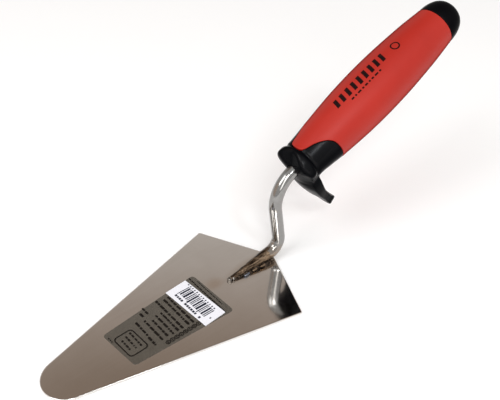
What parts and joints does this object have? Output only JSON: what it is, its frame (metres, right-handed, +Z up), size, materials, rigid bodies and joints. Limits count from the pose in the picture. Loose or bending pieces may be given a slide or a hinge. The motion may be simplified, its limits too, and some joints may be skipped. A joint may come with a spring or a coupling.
{
  "type": "brick trowel",
  "caption": "Brick trowel: tapered round-tipped blade, swan-neck rod welded to the heel, and a moulded two-colour handle with a hooked finger guard.",
  "frame": {"origin": "middle of the blade's flat underside, on its centreline, half way from the tip to the heel's point", "axes": "+X runs along the blade towards the heel and the handle, +Y to the left across the blade seen from the handle with the blade down, +Z up from the blade's plane"},
  "size_m": [0.3116, 0.0946, 0.1283],
  "materials": {
    "blade_steel": "finely ground stainless sheet, almost mirror bright",
    "neck_steel": "polished round bar",
    "weld_metal": "rough, heat tinted brown and bronze",
    "black_plastic": "satin moulded plastic",
    "red_rubber": "satin soft-touch",
    "clear_film": null,
    "label_paper": null
  },
  "bodies": {
    "root": {"blade": "blade_steel", "neck_rod": "neck_steel", "weld_left": "weld_metal", "weld_right": "weld_metal", "weld_toe": "weld_metal", "handle_core": "black_plastic", "front_guard": "black_plastic", "grip_sleeve": "red_rubber", "end_cap": "black_plastic", "film_label": "clear_film", "paper_label": "label_paper"}
  },
  "joints": []
}
